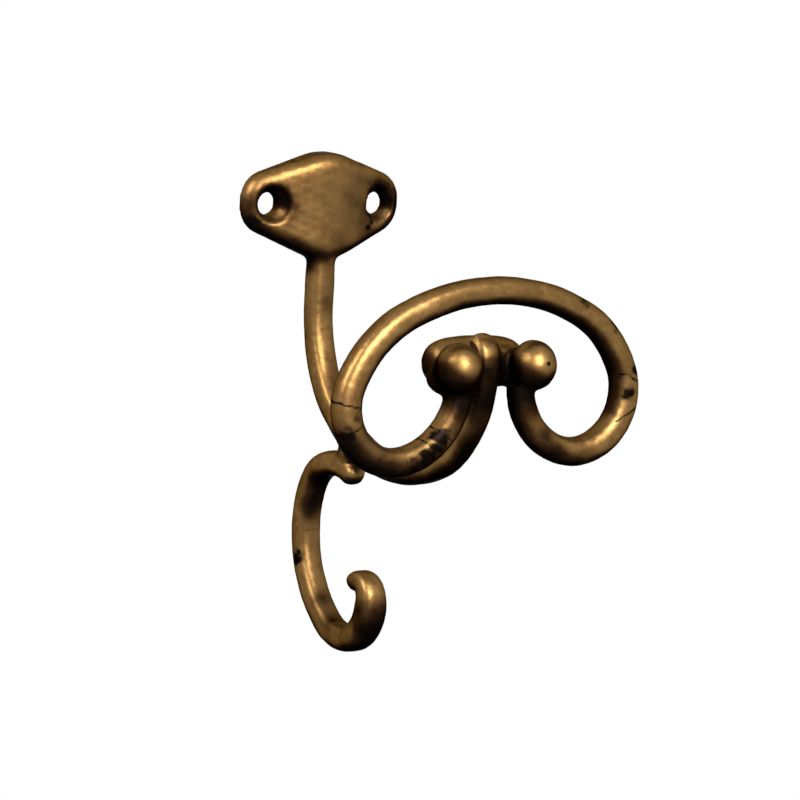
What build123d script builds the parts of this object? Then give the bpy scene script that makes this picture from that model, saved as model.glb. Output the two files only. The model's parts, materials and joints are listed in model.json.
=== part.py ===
"""One-piece cast brass coat and hat hook.

Frame: X to the right, +Y into the wall, +Z up, millimetres.
The origin is the centre of the wall plate's back face, midway between the screw holes.
"""
from build123d import *
from math import copysign, cos, pi, radians, sin, sqrt
import os

os.makedirs("parts", exist_ok=True)

# Wall plate
HOLE_SPACING = 32.0
HOLE_D = 5.6
SINK_D = 10.0
SINK_DEPTH = 2.6
PLATE_HALF_W = 23.0
PLATE_TOP = 14.0
PLATE_BOTTOM = -15.2
SHOULDER_TOP = 6.4
SHOULDER_BOTTOM = -5.6
END_ROUND = 7.5
TOP_ROUND = 16.0
CROWN = 8.0
END_T = 4.7
RIM_R = 3.4

# Rods, whose section is a circle drawn a little towards a square
ROD_D = 7.0
HOOK_D = 6.7
SQUARE = 2.5
DOME_STEPS = (0.0, 0.12, 0.35, 0.65)
STEM_OUT = 3.6
ARM_TIP_D = 5.8
NUB_D = 5.6
CURL_W = 7.6
CURL_D = 7.3
WEB_OUT = 22.6
WEB_Z = -60.9
WEB_TILT = 28
WEB_RADII = (3.2, 5.2, 3.4)

# Hat loop
LOOP_OUT = 80.6
LOOP_TOP = -11.3
LOOP_TOP_D = 6.6
LOOP_SIDE_D = 6.8
LOOP_CURL_D = 7.1
LOOP_END_D = 6.3

# Crossbar and balls
BALL_RADII = (5.5, 5.8, 6.0)
BALL_X = 10.7
BALL_OUT = 82.6
BALL_Z = -29.0
BAR_OUT = 73.2
BAR_Z = -29.4
BAR_HALF_L = 13.2
BAR_D = 12.8
BAR_END_R = 5.6


def tangent_wire(plane, start, heading, pieces):
    """Chain lines (None, length) and arcs (radius, turn in degrees) end to end, each tangent to the last."""
    edges = []
    x, y = start
    angle = radians(heading)
    for radius, amount in pieces:
        if radius is None:
            nx = x + amount * cos(angle)
            ny = y + amount * sin(angle)
            edges.append(Edge.make_line(plane.from_local_coords((x, y)), plane.from_local_coords((nx, ny))))
            x, y = nx, ny
            continue
        side = 1.0 if amount > 0 else -1.0
        turn = radians(amount)
        cx = x - radius * side * sin(angle)
        cy = y + radius * side * cos(angle)
        points = []
        for part in (0.0, 0.5, 1.0):
            a = angle + turn * part
            points.append(plane.from_local_coords((cx + radius * side * sin(a), cy - radius * side * cos(a))))
        edges.append(Edge.make_three_point_arc(*points))
        angle += turn
        x = cx + radius * side * sin(angle)
        y = cy - radius * side * cos(angle)
    return Wire(edges)


def soft_square(width, depth):
    """Closed curve |x/a|^n + |y/b|^n = 1, between an oval (n = 2) and a rectangle."""
    points = []
    for k in range(16):
        c = cos(2 * pi * (k + 0.5) / 16)
        s = sin(2 * pi * (k + 0.5) / 16)
        x = width / 2 * copysign(abs(c) ** (2 / SQUARE), c)
        y = depth / 2 * copysign(abs(s) ** (2 / SQUARE), s)
        points.append((x, y))
    return make_face(Spline(*points, periodic=True))


def rod(wire, across, stations):
    """Sweep soft square sections along a flat wire; each station is (share of length, width, depth)."""
    sections = []
    for share, width, depth in stations:
        at = Plane(origin=wire.position_at(share), x_dir=across, z_dir=wire.tangent_at(share))
        sections.append(at * soft_square(width, depth))
    return sweep(sections, path=wire, multisection=True)


def size_at(knots, share):
    """Width and depth at a share of the length, running straight between the given knots."""
    for (s0, w0, d0), (s1, w1, d1) in zip(knots, knots[1:]):
        if share <= s1 + 1e-9:
            f = (share - s0) / (s1 - s0)
            return w0 + f * (w1 - w0), d0 + f * (d1 - d0)
    return knots[-1][1:]


def stations(wire, knots, count, dome_start=0.0, dome_end=0.0):
    """Sections along a rod; a dome of the given length closes an end along a quarter oval."""
    length = wire.length
    first = dome_start / length
    last = 1 - dome_end / length
    shares = [(first + (last - first) * k / count, 1.0) for k in range(count + 1)]
    for part in DOME_STEPS:
        scale = max(sqrt(1 - (1 - part) ** 2), 0.3)
        if dome_start:
            shares.append((first * part, scale))
        if dome_end:
            shares.append((1 - dome_end / length * part, scale))
    out = []
    for share, scale in sorted(shares):
        width, depth = size_at(knots, share)
        out.append((share, width * scale, depth * scale))
    return out


# Side view plane: local x runs out from the wall, local y runs up
SIDE = Plane(origin=(0, 0, 0), x_dir=(0, -1, 0), z_dir=(-1, 0, 0))
# Front view plane of the hat loop: local x runs right, local y runs up
FRONT = Plane(origin=(0, -LOOP_OUT, 0), x_dir=(1, 0, 0), z_dir=(0, -1, 0))

# Wall plate: six-sided lozenge with rounded corners and a crowned front
outline = Polyline(
    (0, PLATE_TOP),
    (PLATE_HALF_W, SHOULDER_TOP),
    (PLATE_HALF_W, SHOULDER_BOTTOM),
    (0, PLATE_BOTTOM),
    (-PLATE_HALF_W, SHOULDER_BOTTOM),
    (-PLATE_HALF_W, SHOULDER_TOP),
    close=True,
)
lozenge = make_face(outline)
ends = [v for v in lozenge.vertices() if abs(v.X) > 1]
lozenge = fillet(ends, END_ROUND)
top = [v for v in lozenge.vertices() if abs(v.X) < 0.1 and v.Y > 0]
lozenge = fillet(top, TOP_ROUND)
back_plane = Plane(origin=(0, 0, 0), x_dir=(1, 0, 0), z_dir=(0, -1, 0))
slab = extrude(back_plane * lozenge, amount=CROWN + 2)
crown_line = Spline(
    (-PLATE_HALF_W - 1, END_T - 0.2),
    (-HOLE_SPACING / 2, END_T + 0.7),
    (-8.5, CROWN - 0.8),
    (0, CROWN),
    (8.5, CROWN - 0.8),
    (HOLE_SPACING / 2, END_T + 0.7),
    (PLATE_HALF_W + 1, END_T - 0.2),
)
crown_face = make_face(
    crown_line
    + Polyline(
        (PLATE_HALF_W + 1, END_T - 0.2),
        (PLATE_HALF_W + 1, 0),
        (-PLATE_HALF_W - 1, 0),
        (-PLATE_HALF_W - 1, END_T - 0.2),
    )
)
above = Plane(origin=(0, 0, PLATE_BOTTOM - 1), x_dir=(1, 0, 0), z_dir=(0, 0, 1))
crown_block = extrude(above * mirror(crown_face, about=Plane.XZ), amount=PLATE_TOP - PLATE_BOTTOM + 2)
plate = slab & crown_block
rim = [e for e in plate.edges() if e.center().Y < -END_T + 0.9 and e.bounding_box().max.Y < -END_T + 1.2]
plate = fillet(rim, RIM_R)

# Stem and hat arm: one rod that leaves the plate's lower tip and sweeps out and up
arm_wire = tangent_wire(
    SIDE,
    (STEM_OUT, -8.0),
    270,
    [(None, 17.8), (34.4, 70.9), (46.4, 39.8), (31.6, 69.0), (5.5, 78.0)],
)
arm_sizes = [(0, 6.8, 6.8), (0.3, ROD_D, ROD_D), (0.7, 6.7, 6.7), (0.94, ARM_TIP_D, 5.4), (1, 5.4, 3.4)]
arm = rod(arm_wire, (1, 0, 0), stations(arm_wire, arm_sizes, 8, dome_end=1.7))

# Lower hook: nub under the arm, round against the wall, then out to a curled end
hook_wire = tangent_wire(
    SIDE,
    (26.8, -67.4),
    141.1,
    [(13.8, 107.9), (26.4, 44.7), (29.5, 31.8), (13.8, 46.4), (11.6, 83.5), (4.0, 155)],
)
hook_sizes = [
    (0, NUB_D, NUB_D),
    (0.09, 6.4, 6.5),
    (0.3, HOOK_D, HOOK_D),
    (0.7, 6.7, 6.8),
    (0.79, CURL_W, CURL_D),
    (0.88, CURL_W, 7.0),
    (1, 5.6, 4.8),
]
hook = rod(hook_wire, (1, 0, 0), stations(hook_wire, hook_sizes, 14, NUB_D / 2, 2.3))

# Web of metal where the lower hook springs from the arm
web_tilt = radians(WEB_TILT)
web_plane = Plane(origin=(0, -WEB_OUT, WEB_Z), x_dir=(1, 0, 0), z_dir=(0, sin(web_tilt), cos(web_tilt)))
web = web_plane * scale(Sphere(1), by=WEB_RADII)

# Hat loop: a flat bow, the same left and right, whose ends curl in to the balls
half_wire = tangent_wire(
    FRONT,
    (0, LOOP_TOP),
    0,
    [(56.7, -26.0), (28.5, -40.6), (13.9, -123.1), (17.7, -78.0)],
)
loop_sizes = [
    (0, LOOP_TOP_D, LOOP_TOP_D),
    (0.35, LOOP_SIDE_D, LOOP_SIDE_D),
    (0.7, LOOP_CURL_D, LOOP_CURL_D),
    (1, LOOP_END_D, LOOP_END_D),
]
half_loop = rod(half_wire, (0, 1, 0), stations(half_wire, loop_sizes, 6))
loop = half_loop + mirror(half_loop, about=Plane.YZ)

# Crossbar behind the balls, a barrel along X with well rounded ends, and the two balls
bar = Pos(0, -BAR_OUT, BAR_Z) * Rot(0, 90, 0) * Cylinder(BAR_D / 2, 2 * BAR_HALF_L)
bar = fillet(bar.edges().filter_by(GeomType.CIRCLE), BAR_END_R)
ball = scale(Sphere(1), by=BALL_RADII)
balls = [Pos(s * BALL_X, -BALL_OUT, BALL_Z) * ball for s in (-1, 1)]

# Countersunk screw holes, drilled after the casting is joined
casting = plate + arm + hook + web + bar + balls[0] + balls[1] + loop
for s in (-1, 1):
    at = Plane(origin=(s * HOLE_SPACING / 2, 0, 0), x_dir=(1, 0, 0), z_dir=(0, -1, 0))
    shank = at * extrude(Circle(HOLE_D / 2), amount=CROWN + 1)
    seat = END_T + 0.4
    sink = at.offset(seat - SINK_DEPTH) * loft(
        [Circle(HOLE_D / 2), Plane.XY.offset(SINK_DEPTH) * Circle(SINK_D / 2)]
    )
    clear = at.offset(seat) * extrude(Circle(SINK_D / 2), amount=6)
    casting = casting - shank - sink - clear

casting = casting.solids().sort_by(SortBy.VOLUME)[-1]
casting.label = "hook_casting"
export_step(casting, "parts/hook_casting.step")
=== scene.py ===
"""Looks of a cast brass coat and hat hook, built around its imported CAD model.

The casting is one piece. Its rods, balls, barrel and wall plate are surfaces worked out as
functions of two parameters, run together by a voxel skin and relaxed, so that each meeting line
becomes the soft fillet that a casting has. X runs right, Y into the wall and Z up. Places and
sizes on the hook are in millimetres, and turn to metres when they become a mesh.
"""

import json
import logging
import math
from dataclasses import dataclass, field
from enum import Enum
from typing import Optional

import bmesh
import bpy
import numpy as np
from mathutils import Matrix, Vector


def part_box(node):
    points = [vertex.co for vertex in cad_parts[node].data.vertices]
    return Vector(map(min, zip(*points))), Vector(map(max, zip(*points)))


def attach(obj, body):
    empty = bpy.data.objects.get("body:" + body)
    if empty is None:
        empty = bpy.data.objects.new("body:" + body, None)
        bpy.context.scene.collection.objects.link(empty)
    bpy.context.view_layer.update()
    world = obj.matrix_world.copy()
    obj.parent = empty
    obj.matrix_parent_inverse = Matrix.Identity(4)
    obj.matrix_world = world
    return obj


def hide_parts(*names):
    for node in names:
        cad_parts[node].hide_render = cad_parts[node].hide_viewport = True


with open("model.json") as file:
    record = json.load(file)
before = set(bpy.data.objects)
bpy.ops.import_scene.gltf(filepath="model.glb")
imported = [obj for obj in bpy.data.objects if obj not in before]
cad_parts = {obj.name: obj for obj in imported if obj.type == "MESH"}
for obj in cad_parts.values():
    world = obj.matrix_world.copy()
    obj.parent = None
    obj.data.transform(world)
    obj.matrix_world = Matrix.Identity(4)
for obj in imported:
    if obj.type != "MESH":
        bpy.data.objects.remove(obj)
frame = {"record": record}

LOG = logging.getLogger("coat_hook")
MM = 0.001
CAD_NODE = "hook_casting"
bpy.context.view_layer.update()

Pair = tuple[float, float]
Triple = tuple[float, float, float]
Bend = tuple[Optional[float], float]
Socket = bpy.types.NodeSocket


class Face(Enum):
    """The flat plane that a rod is bent in."""

    SIDE = "side"
    FRONT = "front"


def screw_dims() -> dict:
    """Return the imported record's sizes for the pair of screw holes."""
    return next(m["dims"] for m in frame["record"]["mounts"] if m["name"] == "screws")


def signed_power(values: np.ndarray, power: float) -> np.ndarray:
    """Raise the size of each value to a power and keep its sign."""
    return np.sign(values) * np.abs(values) ** power


def running(values: np.ndarray) -> np.ndarray:
    """Return the running sum of the values, from zero."""
    return np.concatenate([[0.0], np.cumsum(values)])


def travel(points: np.ndarray) -> np.ndarray:
    """Return how far along their line each of the points lies."""
    return running(np.linalg.norm(np.diff(points, axis=0), axis=1))


@dataclass
class Grid:
    """A surface as rows of points, closed round each row and capped at both ends with a fan."""

    points: np.ndarray

    def mesh_arrays(self) -> tuple[np.ndarray, np.ndarray]:
        """Turn the grid to vertices and triangles.

        Returns:
            The vertices, and the triangles as rows of three indices.
        """
        rows, cols, _ = self.points.shape
        index = np.arange(rows * cols).reshape(rows, cols)
        a, b = index[:-1], index[1:]
        a2, b2 = np.roll(a, -1, axis=1), np.roll(b, -1, axis=1)
        lower = np.stack([a, b, b2], -1).reshape(-1, 3)
        upper = np.stack([a, b2, a2], -1).reshape(-1, 3)
        first, last = rows * cols, rows * cols + 1
        head = np.stack([np.full(cols, first), index[0], np.roll(index[0], -1)], -1)
        tail = np.stack([np.full(cols, last), np.roll(index[-1], -1), index[-1]], -1)
        ends = np.stack([self.points[0].mean(0), self.points[-1].mean(0)])
        verts = np.concatenate([self.points.reshape(-1, 3), ends])
        return verts, np.concatenate([lower, upper, head, tail])


@dataclass(frozen=True)
class Ripple:
    """Smooth unevenness: its height, the length of its waves in millimetres, and its seed.

    It is the height times a sum of sine waves, each along a direction and with a phase and a
    pitch drawn at random from the seed, divided so that it mostly stays between -1 and 1.
    """

    height: float
    size: float
    seed: int
    waves: int = 9
    pitch: Pair = (0.7, 1.6)
    phase: float = 6.28
    divisor: float = 4.0

    def at(self, points: np.ndarray) -> np.ndarray:
        """Work out the unevenness.

        Args:
            points: places in millimetres.

        Returns:
            One value for each place.
        """
        rng = np.random.default_rng(self.seed)
        total = np.zeros(len(points))
        for _ in range(self.waves):
            direction = rng.normal(size=3)
            direction /= np.linalg.norm(direction)
            turns = points @ direction / self.size * rng.uniform(*self.pitch)
            total += np.sin(turns * 2 * math.pi + rng.uniform(0, self.phase))
        return self.height * (total / self.divisor)


@dataclass(frozen=True)
class TangentPath:
    """A flat line of straight runs (None, length) and arcs (radius, turn in degrees).

    The heading is the start heading plus the running sum of curvature times length, and the place
    is the running sum of the heading's direction, so both follow from the curvature alone.
    """

    start: Pair
    heading: float
    pieces: tuple[Bend, ...]
    plane: Face
    out: float = 0.0
    finer: int = 8

    def sample(self, step: float) -> tuple[np.ndarray, np.ndarray, np.ndarray]:
        """Work out points along the path.

        Args:
            step: the spacing of the points, in millimetres.

        Returns:
            The points, their unit tangents, and each point's share of the whole length.
        """
        arcs = [(r, math.radians(amount)) if r else (r, amount) for r, amount in self.pieces]
        lengths = np.array([r * abs(amount) if r else amount for r, amount in arcs])
        bends = np.array([math.copysign(1.0 / r, amount) if r else 0.0 for r, amount in arcs])
        ends = np.cumsum(lengths)
        count = int(ends[-1] / step) + 1
        s = np.linspace(0.0, ends[-1], count * self.finer + 1)
        middle = (s[1:] + s[:-1]) / 2
        bend = bends[np.clip(np.searchsorted(ends, middle), 0, len(bends) - 1)]
        ds = s[1] - s[0]
        turn = running(bend) * ds + math.radians(self.heading)
        mid_turn = (turn[1:] + turn[:-1]) / 2
        x = self.start[0] + running(np.cos(mid_turn)) * ds
        y = self.start[1] + running(np.sin(mid_turn)) * ds
        keep = slice(None, None, self.finer)
        flat = np.stack([x, y], -1)[keep]
        direction = np.stack([np.cos(turn), np.sin(turn)], -1)[keep]
        return self.lift(flat, self.out), self.lift(direction, 0.0), (s / ends[-1])[keep]

    def lift(self, flat: np.ndarray, out: float) -> np.ndarray:
        """Place flat coordinates in space.

        Args:
            flat: rows of (out from the wall, up) on SIDE, and of (right, up) on FRONT.
            out: how far the FRONT plane stands from the wall.

        Returns:
            The points as rows of X, Y and Z.
        """
        if self.plane is Face.SIDE:
            return np.stack([np.zeros(len(flat)), -flat[:, 0], flat[:, 1]], -1)
        return np.stack([flat[:, 0], np.full(len(flat), -out), flat[:, 1]], -1)

    def across(self) -> np.ndarray:
        """Return the unit normal of the path's plane."""
        return np.array([1.0, 0.0, 0.0]) if self.plane is Face.SIDE else np.array([0.0, -1.0, 0.0])


@dataclass(frozen=True)
class Rod:
    """A rod carried along a path: an oval section, a little squared, that swells and tapers.

    A point of the surface is the path's point plus width/2 times the fattened cosine across the
    plane plus depth/2 times the fattened sine in the plane. To fatten c is to take sign(c)|c|^q,
    with q under one, which draws the oval towards a soft square. At a free end the section
    shrinks along a quarter circle, so that the rod closes in a dome.
    """

    path: TangentPath
    sizes: tuple[Triple, ...]
    squareness: float = 0.8
    dome_start: float = 0.0
    dome_end: float = 0.0
    step: float = 0.5
    around: int = 48
    least: float = 0.02

    def grid(self) -> Grid:
        """Compute the rod's surface.

        Returns:
            The surface, in millimetres.
        """
        points, tangents, share = self.path.sample(self.step)
        knots = np.array(self.sizes)
        dome = self.dome(points)
        width = np.interp(share, knots[:, 0], knots[:, 1]) * dome
        depth = np.interp(share, knots[:, 0], knots[:, 2]) * dome
        across = self.path.across()
        inward = np.cross(tangents, across)
        angle = np.linspace(0.0, 2 * math.pi, self.around, endpoint=False)
        c = signed_power(np.cos(angle), self.squareness)
        s = signed_power(np.sin(angle), self.squareness)
        ring = (width[:, None] * c)[..., None] * across
        ring = ring + (depth[:, None] * s)[..., None] * inward[:, None, :]
        return Grid(points[:, None, :] + ring / 2)

    def dome(self, points: np.ndarray) -> np.ndarray:
        """Work out how far the sections shrink towards the ends.

        Args:
            points: the points of the path.

        Returns:
            The share of its full size that each section keeps.
        """
        gone = travel(points)
        scale = np.ones(len(points))
        for reach, gap in ((self.dome_start, gone), (self.dome_end, gone[-1] - gone)):
            if reach > 0.0:
                near = np.clip(gap / reach, 0.0, 1.0)
                scale = np.minimum(scale, np.sqrt(np.clip(1.0 - (1.0 - near) ** 2, 0.0, 1.0)))
        return np.maximum(scale, self.least)


@dataclass(frozen=True)
class Ellipsoid:
    """A ball or barrel whose poles lie on X.

    Along X and outwards, the sine and cosine of the latitude are raised to the fullness. One gives
    a ball, and less flattens the middle and rounds the ends, as on a barrel.
    """

    centre: Triple
    radii: Triple
    fullness: float = 1.0
    steps: int = 41
    around: int = 64

    def grid(self) -> Grid:
        """Compute the surface.

        Returns:
            The surface, in millimetres.
        """
        lat = np.linspace(-math.pi / 2, math.pi / 2, self.steps)[1:-1, None]
        lon = np.linspace(0.0, 2 * math.pi, self.around, endpoint=False)[None, :]
        along = signed_power(np.sin(lat), self.fullness)
        reach = np.cos(lat) ** self.fullness
        unit = np.stack([along + 0 * lon, reach * np.cos(lon), reach * np.sin(lon)], -1)
        return Grid(np.array(self.centre) + unit * np.array(self.radii))


@dataclass
class WallPlate:
    """The lozenge plate with its crowned front.

    The outline is a six-sided figure whose corners are rounded with arcs. The surface runs from
    the middle of the back, out to the outline, up the wall, round a quarter-circle rim set in from
    the outline, and back to the middle over the crown, whose height is a raised cosine of X.
    """

    half_width: float = 23.0
    top: float = 14.0
    bottom: float = -15.2
    shoulder_top: float = 6.4
    shoulder_bottom: float = -5.6
    end_round: float = 7.5
    top_round: float = 16.0
    bottom_round: float = 3.0
    crown: float = 8.0
    crown_reach: float = 0.92
    crown_power: float = 0.85
    end_thickness: float = 4.6
    rim: float = 3.4
    arc_points: int = 15
    outline_points: int = 240
    back_rows: tuple[float, ...] = (0.02, 0.25, 0.5, 0.75, 0.96, 1.0)
    wall_rows: tuple[float, ...] = (0.25, 0.5, 0.75)
    rim_rows: int = 9
    front_rows: int = 26
    front_span: Pair = (0.95, 0.02)

    def outline(self) -> tuple[np.ndarray, np.ndarray]:
        """Work out the rounded outline.

        Returns:
            The outline's points, and its outward normals there.
        """
        w = self.half_width
        corners = np.array([
            (0, self.top), (-w, self.shoulder_top), (-w, self.shoulder_bottom),
            (0, self.bottom), (w, self.shoulder_bottom), (w, self.shoulder_top),
        ], float)
        end = self.end_round
        rounds = [self.top_round, end, end, self.bottom_round, end, end]
        points, normals = [], []
        for k, radius in enumerate(rounds):
            before = corners[k - 1] - corners[k]
            after = corners[(k + 1) % len(corners)] - corners[k]
            before /= np.linalg.norm(before)
            after /= np.linalg.norm(after)
            half = math.acos(float(np.clip(before @ after, -1, 1))) / 2
            inwards = (before + after) / np.linalg.norm(before + after)
            middle = corners[k] + inwards * radius / math.sin(half)
            first = self.outward(before, corners[k] - middle)
            last = self.outward(after, corners[k] - middle)
            start = math.atan2(first[1], first[0])
            sweep = (math.atan2(last[1], last[0]) - start + math.pi) % (2 * math.pi) - math.pi
            angle = start + sweep * np.linspace(0, 1, self.arc_points)
            normal = np.stack([np.cos(angle), np.sin(angle)], -1)
            normals.append(normal)
            points.append(middle + radius * normal)
        return self.spread(np.concatenate(points), np.concatenate(normals))

    @staticmethod
    def outward(side: np.ndarray, away: np.ndarray) -> np.ndarray:
        """Return the normal of a side of the outline that points the way of the given direction."""
        normal = np.array([side[1], -side[0]])
        return normal if normal @ away > 0 else -normal

    def spread(self, points: np.ndarray, normals: np.ndarray) -> tuple[np.ndarray, np.ndarray]:
        """Space the outline's points evenly along its length.

        Args:
            points: the outline's points in order.
            normals: its outward normals there.

        Returns:
            The even points and their normals.
        """
        loop = np.concatenate([points, points[:1]])
        loop_normals = np.concatenate([normals, normals[:1]])
        s = travel(loop)
        t = np.linspace(0.0, s[-1], self.outline_points + 1)[:-1]
        even = np.stack([np.interp(t, s, loop[:, k]) for k in (0, 1)], -1)
        normal = np.stack([np.interp(t, s, loop_normals[:, k]) for k in (0, 1)], -1)
        return even, normal / np.linalg.norm(normal, axis=1, keepdims=True)

    def height(self, x: np.ndarray) -> np.ndarray:
        """Return the front's distance from the wall: a raised cosine of x over flat ends."""
        reach = np.clip(np.abs(x) / (self.half_width * self.crown_reach), 0.0, 1.0)
        rise = (0.5 + 0.5 * np.cos(math.pi * reach)) ** self.crown_power
        return self.end_thickness + (self.crown - self.end_thickness) * rise

    def grid(self) -> Grid:
        """Compute the plate's surface, row by row.

        Returns:
            The surface, in millimetres.
        """
        edge, normal = self.outline()
        inset = edge - normal * self.rim
        front = self.height(inset[:, 0])
        rows = [self.row(edge * share, 0.0) for share in self.back_rows]
        rows += [self.row(edge, (front - self.rim) * share) for share in self.wall_rows]
        for turn in np.linspace(0.0, math.pi / 2, self.rim_rows):
            out = front - self.rim * (1 - math.sin(turn))
            rows.append(self.row(inset + normal * self.rim * math.cos(turn), out))
        for share in np.linspace(*self.front_span, self.front_rows):
            spot = inset * share
            rows.append(self.row(spot, self.height(spot[:, 0])))
        return Grid(np.stack(rows))

    @staticmethod
    def row(flat: np.ndarray, out: float | np.ndarray) -> np.ndarray:
        """Place one ring of (right, up) points at a distance out from the wall."""
        return np.stack([flat[:, 0], -(np.zeros(len(flat)) + out), flat[:, 1]], -1)


@dataclass
class ScrewHole:
    """The tool that bores one hole: a turned profile of shank, countersink and clear bore."""

    x: float
    shank: float
    sink: float = 4.8
    seat: float = 5.1
    depth: float = 2.6
    behind: float = -1.0
    before: float = 12.0
    around: int = 64

    def grid(self) -> Grid:
        """Turn the profile, radius against distance from the wall, about the hole's axis.

        Returns:
            The tool's surface, in millimetres.
        """
        radius = np.array([self.shank, self.shank, self.sink, self.sink])[:, None]
        out = np.array([self.behind, self.seat - self.depth, self.seat, self.before])[:, None]
        angle = np.linspace(0.0, 2 * math.pi, self.around, endpoint=False)
        ring = self.x + radius * np.cos(angle), -out + 0 * angle, radius * np.sin(angle)
        return Grid(np.stack(ring, -1))


@dataclass(frozen=True)
class Spot:
    """A place on the hook, its reach in millimetres, and how strongly it counts."""

    place: Triple
    reach: float
    strength: float = 1.0


def spots(*rows: tuple[float, ...]) -> tuple[Spot, ...]:
    """Turn rows of X, Y, Z, reach and, where it isn't 1, strength to spots."""
    return tuple(Spot(row[:3], *row[3:]) for row in rows)


@dataclass(frozen=True)
class Seam:
    """A hair line across a rod: its place, the rod's direction there and its reach, in millimetres."""

    place: Triple
    along: Triple
    strength: float = 0.85
    reach: float = 4.2
    half_width: float = 0.33


@dataclass(frozen=True)
class Pocket:
    """A hollow whose inner faces get painted shade: its middle, its reach and the plane it is open along.
    """

    middle: Triple
    reach: float
    plane: Triple
    strength: float = 0.75


@dataclass
class MeshBuilder:
    """Puts point grids into Blender meshes."""

    name: str

    def from_grids(self, grids: list[Grid]) -> bpy.types.Object:
        """Join grids into one object.

        Args:
            grids: closed surfaces in millimetres.

        Returns:
            The new object, in metres, linked to the scene.
        """
        verts, faces, base = [], [], 0
        for grid in grids:
            v, f = grid.mesh_arrays()
            verts.append(v)
            faces.append(f + base)
            base += len(v)
        mesh = bpy.data.meshes.new(self.name)
        mesh.from_pydata((np.concatenate(verts) * MM).tolist(), [], np.concatenate(faces).tolist())
        obj = bpy.data.objects.new(self.name, mesh)
        bpy.context.scene.collection.objects.link(obj)
        self.face_outwards(obj)
        return obj

    @staticmethod
    def face_outwards(obj: bpy.types.Object) -> None:
        """Turn every face of a closed mesh outwards.

        Args:
            obj: the object whose mesh is turned.
        """
        work = bmesh.new()
        work.from_mesh(obj.data)
        bmesh.ops.remove_doubles(work, verts=work.verts, dist=1e-7)
        bmesh.ops.recalc_face_normals(work, faces=work.faces)
        work.to_mesh(obj.data)
        work.free()

    @staticmethod
    def applied(obj: bpy.types.Object) -> None:
        """Replace an object's mesh by its evaluated one, and drop its modifiers.

        Args:
            obj: the object to work on.
        """
        graph = bpy.context.evaluated_depsgraph_get()
        mesh = bpy.data.meshes.new_from_object(obj.evaluated_get(graph))
        obj.modifiers.clear()
        old = obj.data
        obj.data = mesh
        bpy.data.meshes.remove(old)


@dataclass
class Skin:
    """The vertices and edges of one mesh as arrays, for relaxing and shaping."""

    obj: bpy.types.Object
    points: np.ndarray = field(init=False)
    edges: np.ndarray = field(init=False)

    def __post_init__(self) -> None:
        """Read the mesh."""
        mesh = self.obj.data
        self.points = np.empty(len(mesh.vertices) * 3)
        mesh.vertices.foreach_get("co", self.points)
        self.points = self.points.reshape(-1, 3)
        self.edges = np.empty(len(mesh.edges) * 2, dtype=np.int64)
        mesh.edges.foreach_get("vertices", self.edges)
        self.edges = self.edges.reshape(-1, 2)

    def neighbours_mean(self, values: np.ndarray) -> np.ndarray:
        """Average a per-vertex array over each vertex's neighbours.

        Args:
            values: one row for each vertex.

        Returns:
            The averages, in the same shape.
        """
        a, b = self.edges[:, 0], self.edges[:, 1]
        count = len(self.points)
        degree = np.maximum(np.bincount(a, minlength=count) + np.bincount(b, minlength=count), 1)
        columns = []
        for k in range(values.shape[1]):
            total = np.bincount(a, weights=values[b, k], minlength=count)
            total += np.bincount(b, weights=values[a, k], minlength=count)
            columns.append(total / degree)
        return np.stack(columns, -1)

    def softened(self, values: np.ndarray, rounds: int) -> np.ndarray:
        """Average a per-vertex array over its neighbours a number of times.

        Args:
            values: one row for each vertex.
            rounds: how many times.

        Returns:
            The softened array.
        """
        for _ in range(rounds):
            values = self.neighbours_mean(values)
        return values

    def relax(self, rounds: int, share: float | np.ndarray) -> None:
        """Move each vertex towards its neighbours' mean a number of times.

        Args:
            rounds: how many times.
            share: how much of the way it goes, the same for all or one row for each vertex.
        """
        for _ in range(rounds):
            self.points = self.points + (self.neighbours_mean(self.points) - self.points) * share

    def write(self) -> None:
        """Put the vertices back."""
        self.obj.data.vertices.foreach_set("co", self.points.ravel())
        self.obj.data.update()

    def normals(self) -> np.ndarray:
        """Return the vertex normals of the mesh as it now is."""
        out = np.empty(len(self.points) * 3)
        self.obj.data.vertex_normals.foreach_get("vector", out)
        return out.reshape(-1, 3)

    def near(self, place: Triple, reach: float) -> np.ndarray:
        """Return a bell-shaped weight that falls with distance from a place, both in millimetres."""
        gap = np.linalg.norm(self.points / MM - np.array(place), axis=1)
        return np.exp(-((gap / reach) ** 2))

    def store(self, name: str, values: np.ndarray) -> None:
        """Keep a value per vertex on the mesh, for the material to read."""
        layer = self.obj.data.attributes.new(name=name, type="FLOAT", domain="POINT")
        layer.data.foreach_set("value", values.astype(np.float32))


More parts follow.
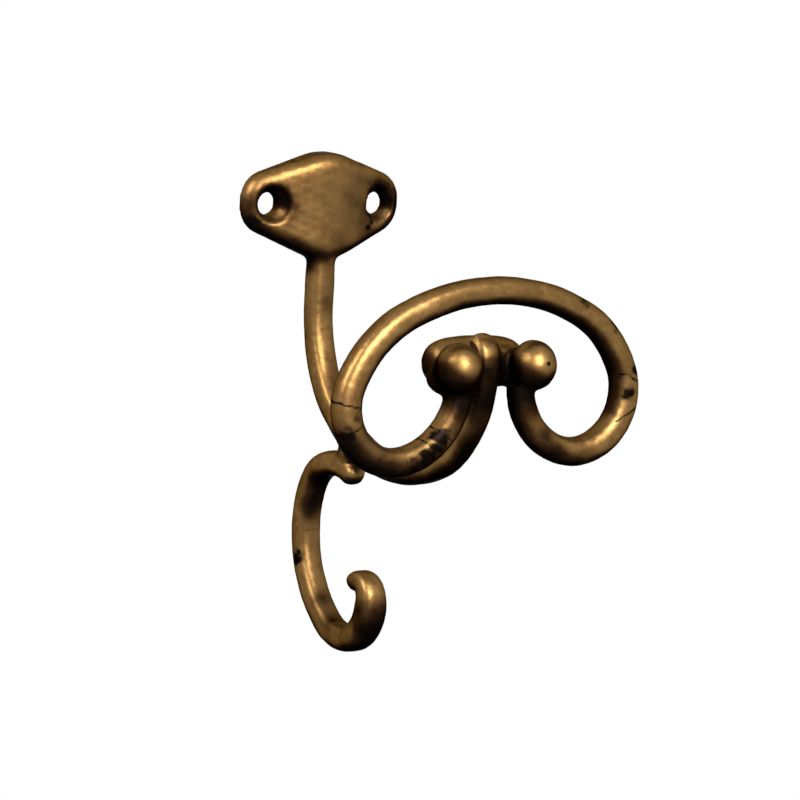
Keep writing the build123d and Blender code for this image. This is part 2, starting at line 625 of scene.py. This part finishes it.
@dataclass
class HookCasting:
    """The whole one-piece casting: plate, stem and hat arm, lower hook, bow, barrel and balls."""

    # From inside the plate's lower tip to the end on the barrel
    arm: Rod = Rod(
        TangentPath(
            (3.6, -8.0), 270.0,
            ((None, 17.8), (34.4, 70.9), (46.4, 39.8), (31.6, 69.0), (5.5, 78.0)),
            Face.SIDE,
        ),
        ((0, 6.8, 6.8), (0.3, 7.0, 7.0), (0.7, 6.7, 6.7), (0.94, 5.8, 5.4), (1, 5.4, 3.4)),
        squareness=0.68, dome_end=1.7,
    )
    # From the nub under the arm to the curled end
    hook: Rod = Rod(
        TangentPath(
            (26.8, -67.4), 141.1,
            ((13.8, 107.9), (26.4, 44.7), (29.5, 31.8), (13.8, 46.4), (11.6, 83.5), (4.0, 155.0)),
            Face.SIDE,
        ),
        (
            (0, 5.6, 5.6), (0.09, 6.4, 6.5), (0.3, 6.7, 6.7), (0.7, 6.7, 6.8),
            (0.79, 7.6, 7.3), (0.88, 7.6, 7.0), (1, 5.6, 4.8),
        ),
        squareness=0.66, dome_start=2.8, dome_end=2.3,
    )
    # The right half of the hat loop, which starts a little past the middle
    half_bow: Rod = Rod(
        TangentPath(
            (-0.5, -11.3), 0.0,
            ((None, 0.5), (56.7, -26.0), (28.5, -40.6), (13.9, -123.1), (17.7, -78.0)),
            Face.FRONT, out=80.6,
        ),
        ((0, 6.6, 6.6), (0.35, 6.8, 6.8), (0.7, 7.1, 7.1), (1, 6.3, 6.3)),
    )
    barrel: Ellipsoid = Ellipsoid((0.0, -73.2, -29.4), (13.2, 6.4, 6.4), fullness=0.64, steps=61, around=72)
    web_place: Triple = (0.0, -22.6, -60.9)
    web_radii: Triple = (3.2, 5.2, 3.4)
    web_tilt: float = 28.0
    ball_place: Triple = (10.7, -82.6, -29.0)
    ball_radii: Triple = (5.5, 5.8, 6.0)
    root_shift: Triple = (-0.2, 5.1, -3.0)
    root_radii: Triple = (4.6, 5.4, 4.2)
    skin_step: float = 0.44
    skin_inset: float = 0.03
    relax_rounds: int = 4
    relax_share: float = 0.5
    fillet_rounds: int = 30
    fillet_share: float = 0.6
    back_fade: float = 1.2
    wander: tuple[Ripple, ...] = (Ripple(0.06, 11.0, 4), Ripple(0.025, 3.2, 9))
    fillets: tuple[Spot, ...] = spots(
        (0.0, -3.6, -15.0, 3.6), (0.0, -16.0, -56.5, 4.0), (0.0, -22.0, -60.5, 3.0),
        (0.0, -12.0, -58.0, 4.0),
    )
    ball_fillets: tuple[Spot, ...] = spots(
        (-0.6, 1.4, -6.0, 2.2), (0.0, 5.0, 0.0, 3.0), (2.6, 4.8, -2.2, 4.4),
    )

    def web(self) -> Grid:
        """Compute the web of metal where the hook springs from the arm, an ellipsoid laid along it.

        Returns:
            The surface, in millimetres.
        """
        grid = Ellipsoid((0.0, 0.0, 0.0), self.web_radii).grid()
        a = math.radians(self.web_tilt)
        turn = np.array([[1, 0, 0], [0, math.cos(a), math.sin(a)], [0, -math.sin(a), math.cos(a)]])
        return Grid(grid.points @ turn.T + np.array(self.web_place))

    def by_ball(self, side: float, shift: Triple) -> Triple:
        """Return a place shifted from a ball's middle, with X outwards on the given side."""
        x, y, z = (a + b for a, b in zip(self.ball_place, shift))
        return side * x, y, z

    def build(self) -> bpy.types.Object:
        """Build the casting.

        Returns:
            The finished object, riding on the root body in place of the CAD node.
        """
        plate = MeshBuilder("plate_blank").from_grids([WallPlate().grid()])
        dims = screw_dims()
        for side in (-1, 1):
            self.bore(plate, ScrewHole(side * dims["spacing_x_mm"] / 2, dims["hole_r_mm"]))
        bow = self.half_bow.grid().points
        grids = [self.arm.grid(), self.hook.grid(), self.web(), self.barrel.grid()]
        for side in (-1.0, 1.0):
            grids.append(Ellipsoid(self.by_ball(side, (0.0, 0.0, 0.0)), self.ball_radii).grid())
            grids.append(Ellipsoid(self.by_ball(side, self.root_shift), self.root_radii).grid())
            grids.append(Grid(bow * np.array([side, 1.0, 1.0])))
        casting = MeshBuilder("casting").from_grids(grids)
        self.join(casting, plate)
        self.skin(casting)
        self.shape(casting)
        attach(casting, "root")
        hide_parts(CAD_NODE)
        return casting

    @staticmethod
    def bore(plate: bpy.types.Object, hole: ScrewHole) -> None:
        """Cut one screw hole out of the plate.

        Args:
            plate: the plate's object.
            hole: the hole to cut.
        """
        tool = MeshBuilder("bore_tool").from_grids([hole.grid()])
        cut = plate.modifiers.new("bore", "BOOLEAN")
        cut.operation = "DIFFERENCE"
        cut.solver = "EXACT"
        cut.object = tool
        MeshBuilder.applied(plate)
        bpy.data.objects.remove(tool, do_unlink=True)

    @staticmethod
    def join(target: bpy.types.Object, other: bpy.types.Object) -> None:
        """Add one object's mesh to another's, and remove the first.

        Args:
            target: the object that gets the mesh.
            other: the object that goes.
        """
        work = bmesh.new()
        work.from_mesh(target.data)
        work.from_mesh(other.data)
        work.to_mesh(target.data)
        work.free()
        bpy.data.objects.remove(other, do_unlink=True)

    def skin(self, casting: bpy.types.Object) -> None:
        """Run the pieces together under one even voxel skin.

        Args:
            casting: the object that holds all the pieces.
        """
        wrap = casting.modifiers.new("skin", "REMESH")
        wrap.mode = "VOXEL"
        wrap.voxel_size = self.skin_step * MM
        wrap.adaptivity = 0.0
        MeshBuilder.applied(casting)

    def shape(self, casting: bpy.types.Object) -> None:
        """Relax the skin, more where pieces meet, then give it the slight wander of a sand casting.

        The wander moves each vertex along its normal, fades out towards the flat back, and stays
        inside the CAD node's box.

        Args:
            casting: the object to shape.
        """
        skin = Skin(casting)
        skin.relax(self.relax_rounds, self.relax_share)
        meeting = np.zeros(len(skin.points))
        for spot in self.meetings():
            meeting = np.maximum(meeting, skin.near(spot.place, spot.reach))
        skin.relax(self.fillet_rounds, self.fillet_share * meeting[:, None])
        skin.write()
        normal = skin.normals()
        mm = skin.points / MM
        fade = 1.0 - np.clip((mm[:, 1] + self.back_fade) / self.back_fade, 0.0, 1.0)
        wander = sum(ripple.at(mm) for ripple in self.wander)
        skin.points = skin.points + normal * (wander * fade - self.skin_inset)[:, None] * MM
        low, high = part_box(CAD_NODE)
        skin.points = np.clip(skin.points, np.array(low), np.array(high))
        skin.write()

    def meetings(self) -> list[Spot]:
        """Return the places where pieces run together, with the reach of each fillet."""
        pairs = [(side, spot) for side in (-1.0, 1.0) for spot in self.ball_fillets]
        return [*self.fillets, *(Spot(self.by_ball(side, s.place), s.reach) for side, s in pairs)]


@dataclass(frozen=True)
class PatinaAndShade:
    """Black lacquer flakes, brown lacquer in hollows, rubbed brass, and painted shade and painted light.

    A vertex keeps its brass colour by the product of what each cause leaves: lying in a hollow,
    where lacquer stays, and, as painted shade, facing down, facing the wall, facing into a pocket
    and standing near a shaded place. Then painted light places keep it at least to their strength,
    and faces turned up get painted top light.
    """

    flakes: tuple[Spot, ...] = spots(
        # Left curl of the bow, and the left side of the bow
        (-15.7, -84.0, -45.5, 3.0), (-18.8, -84.0, -49.0, 3.4, 0.9), (-22.0, -84.0, -51.5, 2.6, 0.8),
        (-40.6, -83.6, -43.5, 2.4, 0.9), (-38.6, -84.0, -38.8, 1.6, 0.6),
        # Right side and top of the bow
        (40.6, -83.8, -31.0, 1.8, 0.8), (38.8, -84.0, -36.6, 2.2, 0.85), (24.0, -84.0, -14.0, 2.2, 0.6),
        (34.0, -84.0, -19.5, 2.4, 0.7),
        # Wall plate
        (12.2, -4.8, -5.3, 2.0, 0.9), (-21.4, -3.6, -6.0, 3.4),
        # Lower hook
        (-3.3, -5.4, -91.2, 2.4, 0.8), (-1.2, -21.0, -103.4, 2.2, 0.6), (3.0, -36.0, -103.0, 3.2, 0.9),
        # Pit in the right ball
        (10.9, -88.3, -27.8, 0.6),
    )
    # Painted shade where parts shade each other, under curls and in holes; one faint browning of the plate
    shade_and_tone_places: tuple[Spot, ...] = spots(
        # Painted shade round the balls, the barrel and the arm's tip, where the parts shade each other
        (4.6, -81.0, -30.0, 5.2), (-4.4, -83.0, -30.0, 4.0), (0.0, -79.0, -36.0, 7.0),
        (10.0, -82.0, -36.4, 5.0), (-10.0, -82.0, -36.4, 5.0), (-13.0, -74.0, -29.0, 7.0, 0.65),
        (-14.6, -79.0, -31.0, 4.0, 0.7), (-10.7, -87.0, -34.0, 4.0, 0.7),
        (-5.4, -86.0, -30.0, 2.6, 0.8), (-10.7, -78.4, -23.6, 2.4, 0.8),
        (-15.6, -84.6, -28.6, 3.6, 0.75), (10.7, -86.0, -34.6, 4.0, 0.8),
        # Painted shade on the underside of the bow's left curl
        (-39.6, -83.7, -46.8, 2.6, 0.75), (-36.8, -83.2, -50.6, 3.0, 0.85),
        (-32.6, -83.0, -54.0, 3.2, 0.9), (-27.4, -83.0, -55.8, 3.0, 0.9),
        (-22.2, -83.0, -55.0, 3.0, 0.85), (-29.0, -83.0, -54.0, 10.0, 0.7),
        (-13.0, -84.0, -42.0, 6.0, 0.4),
        # Painted shade on the underside of the bow's right curl
        (14.8, -83.4, -45.4, 3.0, 0.7), (18.4, -83.2, -51.0, 3.2, 0.85),
        (24.6, -83.0, -55.4, 3.2, 0.85), (22.0, -84.0, -53.0, 7.0, 0.4),
        # Wall plate: painted shade in its screw holes, at its ends, at the foot of the stem and
        # to the right; the last is a faint browning of the plate's tone
        (-2.6, -3.4, -15.0, 2.6, 0.7), (-15.4, -4.0, 0.2, 6.2, 0.85), (16.4, -4.0, 0.9, 5.8, 0.85),
        (-23.0, -3.0, -1.0, 3.4, 0.5), (22.6, -3.0, 1.0, 3.6, 0.5), (15.0, -7.0, 3.0, 11.0, 0.35),
        (0.0, -7.0, 0.0, 17.0, 0.2),
        # Painted shade under the arm, in the fork under it, on the nub and inside the lower hook
        (0.0, -50.0, -62.0, 12.0, 0.35), (0.0, -20.5, -60.5, 3.4, 0.6), (0.0, -28.5, -70.5, 4.4, 0.75),
        (-2.4, -10.8, -70.2, 2.8, 0.8), (-1.0, -7.4, -76.5, 3.0, 0.7), (-0.6, -15.4, -100.0, 3.4, 0.9),
        (-0.8, -20.2, -103.4, 4.0, 0.97), (-0.8, -37.8, -103.2, 4.0, 0.95),
        (3.0, -37.0, -102.0, 6.0, 0.5), (0.0, -29.5, -97.0, 4.6, 0.9), (-3.3, -36.6, -97.4, 2.2, 0.6),
        (0.0, -42.0, -96.0, 8.0, 0.35),
    )
    # Painted light: a glint low in each countersink, and a lift where the plate's tip meets the stem
    painted_light_places: tuple[Spot, ...] = spots(
        (1.4, -6.8, -14.2, 2.8, 0.8), (-13.4, -3.4, -2.4, 2.0, 0.75), (18.8, -3.4, -2.6, 2.0, 0.75),
    )
    seams: tuple[Seam, ...] = (
        Seam((-42.0, -84.0, -36.0), (0.25, 0.0, 1.0)),
        Seam((-40.4, -84.0, -42.8), (-0.5, 0.0, 1.0)),
        Seam((41.0, -84.0, -33.4), (0.3, 0.0, 1.0)),
        Seam((40.0, -84.0, -41.0), (-0.5, 0.0, 1.0)),
        Seam((-15.0, -84.0, -43.6), (0.6, 0.0, 0.8)),
        Seam((-17.4, -84.0, -47.4), (0.6, 0.0, 0.6)),
        Seam((0.0, -7.0, -38.0), (0.0, -0.3, 1.0), 0.5),
        Seam((0.0, -8.0, -84.0), (0.0, -0.1, 1.0), 0.5),
    )
    # Painted shade on the inner faces of the bow, of the lower hook and of the arm's curve
    pockets: tuple[Pocket, ...] = (
        Pocket((0.0, -80.6, -36.0), 52.0, (1.0, 0.0, 1.0)),
        Pocket((0.0, -20.0, -88.0), 34.0, (0.0, 1.0, 1.0), 0.35),
        Pocket((0.0, -48.0, -30.0), 40.0, (0.0, 1.0, 1.0)),
    )
    ragged: Ripple = Ripple(0.35, 2.4, 21)
    waver: Ripple = Ripple(0.3, 4.0, 5)
    drift: Ripple = Ripple(0.10, 8.0, 33)
    flake_gain: float = 1.2
    seam_cut: float = 0.2
    smooth_rounds: int = 9
    dent_rounds: int = 5
    hollow_gain: float = 15.0
    hollow_floor: float = 0.10
    hollow_strength: float = 0.95
    # Painted shade on faces turned down, on faces turned to the wall, and in pockets
    under_gain: float = 1.55
    under_floor: float = 0.02
    under_strength: float = 0.92
    wall_strength: float = 0.45
    pocket_gain: float = 1.2
    pocket_floor: float = 0.15
    # Painted top light: how much brighter faces turned up are made
    top_light_gain: float = 0.6
    rub_gain: float = 7.0
    rub_floor: float = 0.35

    def mark(self, casting: bpy.types.Object) -> None:
        """Store the three masks on the casting's vertices, for its material.

        Args:
            casting: the finished casting.
        """
        skin = Skin(casting)
        mm = skin.points / MM
        smooth = skin.softened(skin.normals(), self.smooth_rounds)
        middle = skin.softened(skin.points, self.smooth_rounds)
        dent = ((middle - skin.points) * smooth).sum(1, keepdims=True) / MM
        dent = skin.softened(dent, self.dent_rounds)[:, 0]
        bare_and_lit = self.bareness_and_light(skin, mm, smooth, dent)
        # Painted top light on faces turned up.
        top_light = self.top_light_gain * np.clip(smooth[:, 2], 0.0, 1.0)
        skin.store("stain", self.blackness(skin, mm))
        # Brown and black lacquer in hollows, painted shade, painted top light and a random drift of tone.
        skin.store("wash_and_shade", 1.0 - bare_and_lit - top_light + self.drift.at(mm))
        skin.store("rub", np.clip(-dent * self.rub_gain - self.rub_floor, 0.0, 1.0) * bare_and_lit)
        casting.data.shade_smooth()

    def blackness(self, skin: Skin, mm: np.ndarray) -> np.ndarray:
        """Work out the flakes of blackened lacquer, with ragged edges, and the seam lines.

        Args:
            skin: the casting's skin.
            mm: its vertices in millimetres.

        Returns:
            A mask from 0 to 1.
        """
        ragged = 1.0 + self.ragged.at(mm)
        mask = np.zeros(len(mm))
        for flake in self.flakes:
            near = np.clip(self.flake_gain * skin.near(flake.place, flake.reach) * ragged, 0, 1)
            mask = np.maximum(mask, flake.strength * near)
        waver = self.waver.at(mm)
        for seam in self.seams:
            along = np.array(seam.along) / np.linalg.norm(seam.along)
            gap = (mm - np.array(seam.place)) @ along + waver
            line = np.exp(-((gap / seam.half_width) ** 2))
            line *= skin.near(seam.place, seam.reach) > self.seam_cut
            mask = np.maximum(mask, seam.strength * line)
        return np.clip(mask, 0.0, 1.0)

    def bareness_and_light(self, skin: Skin, mm: np.ndarray, smooth: np.ndarray, dent: np.ndarray) -> np.ndarray:
        """Work out how far each vertex keeps its brass colour, clear of lacquer and painted shade.

        Args:
            skin: the casting's skin.
            mm: its vertices in millimetres.
            smooth: its softened normals.
            dent: how far each vertex lies below its surroundings, in millimetres.

        Returns:
            A mask from 0, under full lacquer and painted shade, to 1.
        """
        hollow = np.clip(dent * self.hollow_gain - self.hollow_floor, 0.0, 1.0)
        # Painted shade on faces turned down.
        under = np.clip(-smooth[:, 2] * self.under_gain - self.under_floor, 0.0, 1.0)
        bare_and_lit = 1.0 - self.hollow_strength * hollow
        bare_and_lit *= 1.0 - self.under_strength * under
        # Painted shade on faces turned to the wall.
        bare_and_lit *= 1.0 - self.wall_strength * np.clip(smooth[:, 1], 0.0, 1.0)
        # Painted shade on faces turned into each pocket.
        for pocket in self.pockets:
            away = (np.array(pocket.middle) - mm) * np.array(pocket.plane)
            span = np.maximum(np.linalg.norm(away, axis=1), 1.0)
            facing = (smooth * away / span[:, None]).sum(1)
            inside = np.exp(-((span / pocket.reach) ** 6))
            sheltered = np.clip(facing * self.pocket_gain - self.pocket_floor, 0.0, 1.0) * inside
            bare_and_lit *= 1.0 - pocket.strength * sheltered
        # Painted shade near the shaded places, and a faint browning of the plate.
        for spot in self.shade_and_tone_places:
            bare_and_lit *= 1.0 - spot.strength * skin.near(spot.place, spot.reach)
        # Painted light: glints in the countersinks and a lift at the plate's tip.
        for spot in self.painted_light_places:
            bare_and_lit = np.maximum(bare_and_lit, spot.strength * skin.near(spot.place, spot.reach))
        return bare_and_lit


@dataclass
class Nodes:
    """Short hand for wiring shader nodes in one tree."""

    tree: bpy.types.NodeTree

    def add(self, kind: str) -> bpy.types.Node:
        """Add a node of the given kind."""
        return self.tree.nodes.new(kind)

    def feed(self, socket: Socket, value: object) -> None:
        """Link a socket to an output, or set its plain value.

        Args:
            socket: the input to feed.
            value: an output, a number, or a colour as three numbers.
        """
        if isinstance(value, Socket):
            self.tree.links.new(value, socket)
        elif isinstance(value, tuple):
            socket.default_value = (*value, 1.0)
        else:
            socket.default_value = value

    def fill(self, node: bpy.types.Node, values: dict) -> bpy.types.Node:
        """Feed a node's inputs.

        Args:
            node: the node.
            values: what each input gets, by its name or number.

        Returns:
            The same node.
        """
        for key, value in values.items():
            self.feed(node.inputs[key], value)
        return node

    def noise(self, coords: Socket, scale: float, detail: float, rough: float) -> Socket:
        """Add a noise texture.

        Args:
            coords: the coordinates that it reads.
            scale: waves to the metre.
            detail: how many finer layers it has.
            rough: how strong the finer layers are.

        Returns:
            The texture's value, about 0 to 1.
        """
        values = {"Vector": coords, "Scale": scale, "Detail": detail, "Roughness": rough}
        return self.fill(self.add("ShaderNodeTexNoise"), values).outputs[0]

    def attribute(self, name: str) -> Socket:
        """Return a value stored on the mesh."""
        node = self.add("ShaderNodeAttribute")
        node.attribute_name = name
        return node.outputs["Fac"]

    def math(self, operation: str, a: object, b: object) -> Socket:
        """Combine two values.

        Args:
            operation: what to do with them.
            a: the first, an output or a number.
            b: the second.

        Returns:
            The result.
        """
        node = self.add("ShaderNodeMath")
        node.operation = operation
        return self.fill(node, {0: a, 1: b}).outputs[0]

    def span(self, value: object, low: float, high: float) -> Socket:
        """Stretch a 0 to 1 value over a range.

        Args:
            value: the value.
            low: what 0 becomes.
            high: what 1 becomes.

        Returns:
            The stretched value.
        """
        node = self.add("ShaderNodeMapRange")
        return self.fill(node, {"Value": value, "To Min": low, "To Max": high}).outputs[0]

    def ramp(self, value: object, low: float, high: float) -> Socket:
        """Turn a value to a smooth 0 to 1 mask.

        Args:
            value: the value.
            low: the level where the mask leaves 0.
            high: the level where it reaches 1.

        Returns:
            The mask.
        """
        node = self.add("ShaderNodeMapRange")
        node.interpolation_type = "SMOOTHSTEP"
        return self.fill(node, {"Value": value, "From Min": low, "From Max": high}).outputs[0]

    def blend_values(self, a: object, b: object, share: float) -> Socket:
        """Blend two values by a fixed share of the second."""
        first, second = self.math("MULTIPLY", a, 1.0 - share), self.math("MULTIPLY", b, share)
        return self.math("ADD", first, second)

    def mix(self, share: object, first: object, second: object) -> Socket:
        """Mix two colours.

        Args:
            share: how much of the second, from 0 to 1.
            first: the first colour.
            second: the second colour.

        Returns:
            The mixed colour.
        """
        node = self.add("ShaderNodeMix")
        node.data_type = "RGBA"
        return self.fill(node, {0: share, 6: first, 7: second}).outputs[2]


@dataclass(frozen=True)
class AntiqueBrass:
    """Burnished brass under dark brown lacquer in its hollows, with painted shade and painted top light.

    A noise is given as its scale, detail and roughness, and a mask as the levels it runs between.
    """

    bright: Triple = (0.238, 0.139, 0.050)
    worn: Triple = (0.128, 0.067, 0.021)
    # brown serves the lacquer and the painted shade; black serves the flakes, deep lacquer and deep painted
    # shade
    brown: Triple = (0.030, 0.0135, 0.0050)
    black: Triple = (0.005, 0.0032, 0.0024)
    edge_tint: Triple = (0.19, 0.24, 0.27)
    smoothest: float = 0.36
    roughest: float = 0.56
    cloud_noise: Triple = (70.0, 4.0, 0.6)
    mottle_noise: Triple = (520.0, 5.0, 0.65)
    grain_noise: Triple = (2400.0, 3.0, 0.55)
    tone_levels: Pair = (0.36, 0.64)
    tone_top: float = 0.8
    film_speck: float = 0.5
    film_everywhere: float = 0.10
    # Levels of the lacquer and painted shade mask where brown and black take over
    brown_levels: Pair = (0.11, 0.70)
    black_levels: Pair = (0.55, 1.05)
    flake_levels: Pair = (0.25, 0.8)
    even_blend: float = 0.5
    grain_height: float = 0.25
    bump_strength: float = 0.3
    bump_distance: float = 0.0002

    def build(self) -> bpy.types.Material:
        """Build the material.

        Returns:
            The material, reading Object coordinates and the casting's stored marks.
        """
        material = bpy.data.materials.new("antique_brass")
        material.use_nodes = True
        tree = material.node_tree
        tree.nodes.clear()
        net = Nodes(tree)
        coords = net.add("ShaderNodeTexCoord").outputs["Object"]
        mottle = net.noise(coords, *self.mottle_noise)
        # The stored mask of lacquer, painted shade and painted top light.
        wash_and_shade = net.attribute("wash_and_shade")
        dull = net.blend_values(mottle, wash_and_shade, self.even_blend)
        shader = net.fill(net.add("ShaderNodeBsdfPrincipled"), {
            "Base Color": self.colour(net, coords, mottle, wash_and_shade),
            "Metallic": 1.0,
            "Specular Tint": self.edge_tint,
            "Roughness": net.span(dull, self.smoothest, self.roughest),
            "Normal": self.bump(net, coords, mottle),
        })
        net.fill(net.add("ShaderNodeOutputMaterial"), {"Surface": shader.outputs["BSDF"]})
        return material

    def colour(self, net: Nodes, coords: Socket, mottle: Socket, wash_and_shade: Socket) -> Socket:
        """Lay brown, for lacquer and painted shade, then black, for deep lacquer and deep painted
        shade, and then the flakes over the brass, in that order.

        Args:
            net: the material's nodes.
            coords: Object coordinates.
            mottle: the middle noise.
            wash_and_shade: the stored mask of lacquer, painted shade and painted top light.

        Returns:
            The base colour.
        """
        cloud = net.noise(coords, *self.cloud_noise)
        speck = net.math("SUBTRACT", mottle, 0.5)
        tone = net.ramp(net.blend_values(cloud, mottle, self.even_blend), *self.tone_levels)
        tone = net.math("MAXIMUM", net.math("MULTIPLY", tone, self.tone_top), net.attribute("rub"))
        brass = net.mix(tone, self.worn, self.bright)
        # Lacquer and painted shade, from brown to black.
        film_and_shade = net.math("ADD", wash_and_shade, net.math("MULTIPLY", speck, self.film_speck))
        film_and_shade = net.math("ADD", film_and_shade, self.film_everywhere)
        browned = net.mix(net.ramp(film_and_shade, *self.brown_levels), brass, self.brown)
        blackened = net.mix(net.ramp(film_and_shade, *self.black_levels), browned, self.black)
        flaked = net.ramp(net.math("ADD", net.attribute("stain"), speck), *self.flake_levels)
        return net.mix(flaked, blackened, self.black)

    def bump(self, net: Nodes, coords: Socket, mottle: Socket) -> Socket:
        """Give the surface the fine unevenness of worn lacquer.

        Args:
            net: the material's nodes.
            coords: Object coordinates.
            mottle: the middle noise.

        Returns:
            The normal.
        """
        grain = net.math("MULTIPLY", net.noise(coords, *self.grain_noise), self.grain_height)
        return net.fill(net.add("ShaderNodeBump"), {
            "Strength": self.bump_strength,
            "Distance": self.bump_distance,
            "Height": net.math("ADD", mottle, grain),
        }).outputs["Normal"]


@dataclass(frozen=True)
class Lamp:
    """One soft square lamp: its place and size in metres, its power and its colour."""

    name: str
    place: Triple
    size: float
    watts: float
    colour: Triple


@dataclass
class Studio:
    """The pale floor, the soft lamps and the camera at the photograph's viewing angle, in metres."""

    floor_level: float = -0.42
    floor_half: float = 30.0
    floor_colour: Triple = (0.8, 0.8, 0.8)
    floor_roughness: float = 0.9
    white: Triple = (1.0, 1.0, 1.0)
    soft_light: float = 0.3
    middle: Triple = (0.0, -0.04, -0.05)
    lamps: tuple[Lamp, ...] = (
        Lamp("key", (-0.12, -0.72, 0.36), 0.44, 16.5, (1.0, 0.98, 0.95)),
        Lamp("left", (-0.66, -0.06, 0.40), 0.34, 6.5, (1.0, 0.98, 0.96)),
    )
    camera_place: Triple = (-0.3878, -0.6183, 0.0724)
    camera_right: Triple = (0.8331, -0.5498, 0.0602)
    camera_up: Triple = (0.0415, 0.1707, 0.9844)
    lens_mm: float = 129.2
    sensor_mm: float = 36.0
    sees_to: float = 50.0

    def camera(self) -> None:
        """Place the camera from its right and up directions."""
        right = Vector(self.camera_right).normalized()
        up = Vector(self.camera_up)
        up = (up - right * up.dot(right)).normalized()
        back = right.cross(up)
        data = bpy.data.cameras.new("camera")
        data.lens = self.lens_mm
        data.sensor_width = self.sensor_mm
        data.clip_end = self.sees_to
        obj = bpy.data.objects.new("camera", data)
        turn = Matrix((right, up, back)).transposed()
        obj.matrix_world = Matrix.Translation(Vector(self.camera_place)) @ turn.to_4x4()
        bpy.context.scene.collection.objects.link(obj)
        bpy.context.scene.camera = obj

    def light(self, lamp: Lamp) -> None:
        """Add one lamp, aimed at the hook's middle.

        Args:
            lamp: the lamp to add.
        """
        data = bpy.data.lights.new(lamp.name, "AREA")
        data.size = lamp.size
        data.energy = lamp.watts
        data.color = lamp.colour
        obj = bpy.data.objects.new(lamp.name, data)
        obj.location = lamp.place
        aim = Vector(self.middle) - Vector(lamp.place)
        obj.rotation_euler = aim.to_track_quat("-Z", "Y").to_euler()
        bpy.context.scene.collection.objects.link(obj)

    @staticmethod
    def seen(net: Nodes) -> Socket:
        """Return 1 for rays that show the background: to the camera, in metal and through glass."""
        light = net.add("ShaderNodeLightPath")
        shown = net.math("MAXIMUM", light.outputs["Is Camera Ray"], light.outputs["Is Glossy Ray"])
        return net.math("MAXIMUM", shown, light.outputs["Is Transmission Ray"])

    def world(self) -> None:
        """Make a world that is white where it is seen or mirrored, and a soft light elsewhere."""
        world = bpy.data.worlds.new("studio")
        bpy.context.scene.world = world
        world.use_nodes = True
        tree = world.node_tree
        net = Nodes(tree)
        back = tree.nodes["Background"]
        strength = net.span(self.seen(net), self.soft_light, 1.0)
        net.fill(back, {"Color": self.white, "Strength": strength})

    def floor(self) -> None:
        """Make a wide pale floor below the hook, white where it is seen or mirrored."""
        mesh = bpy.data.meshes.new("floor")
        half, z = self.floor_half, self.floor_level
        corners = [(-half, -half, z), (half, -half, z), (half, half, z), (-half, half, z)]
        mesh.from_pydata(corners, [], [(0, 1, 2, 3)])
        obj = bpy.data.objects.new("floor", mesh)
        bpy.context.scene.collection.objects.link(obj)
        mesh.materials.append(self.floor_material())

    def floor_material(self) -> bpy.types.Material:
        """Build the floor's material.

        Returns:
            A plain pale surface that glows white to the rays that show the background.
        """
        material = bpy.data.materials.new("floor_white")
        material.use_nodes = True
        tree = material.node_tree
        net = Nodes(tree)
        shader = tree.nodes["Principled BSDF"]
        net.fill(shader, {"Base Color": self.floor_colour, "Roughness": self.floor_roughness})
        glow = net.add("ShaderNodeEmission")
        sources = {0: self.seen(net), 1: shader.outputs["BSDF"], 2: glow.outputs["Emission"]}
        mixer = net.fill(net.add("ShaderNodeMixShader"), sources)
        net.fill(tree.nodes["Material Output"], {"Surface": mixer.outputs["Shader"]})
        return material

    def build(self) -> None:
        """Set up the whole studio."""
        self.camera()
        for lamp in self.lamps:
            self.light(lamp)
        self.world()
        self.floor()
        bpy.context.scene.view_settings.view_transform = "Standard"


def main() -> None:
    """Build the studio and the casting."""
    logging.basicConfig(level=logging.INFO, format="%(name)s: %(message)s")
    Studio().build()
    LOG.info("studio: camera, lamps, world and floor")
    casting = HookCasting().build()
    PatinaAndShade().mark(casting)
    casting.data.materials.clear()
    casting.data.materials.append(AntiqueBrass().build())
    LOG.info("%s: %d faces", casting.name, len(casting.data.polygons))


if __name__ == "__main__":
    main()
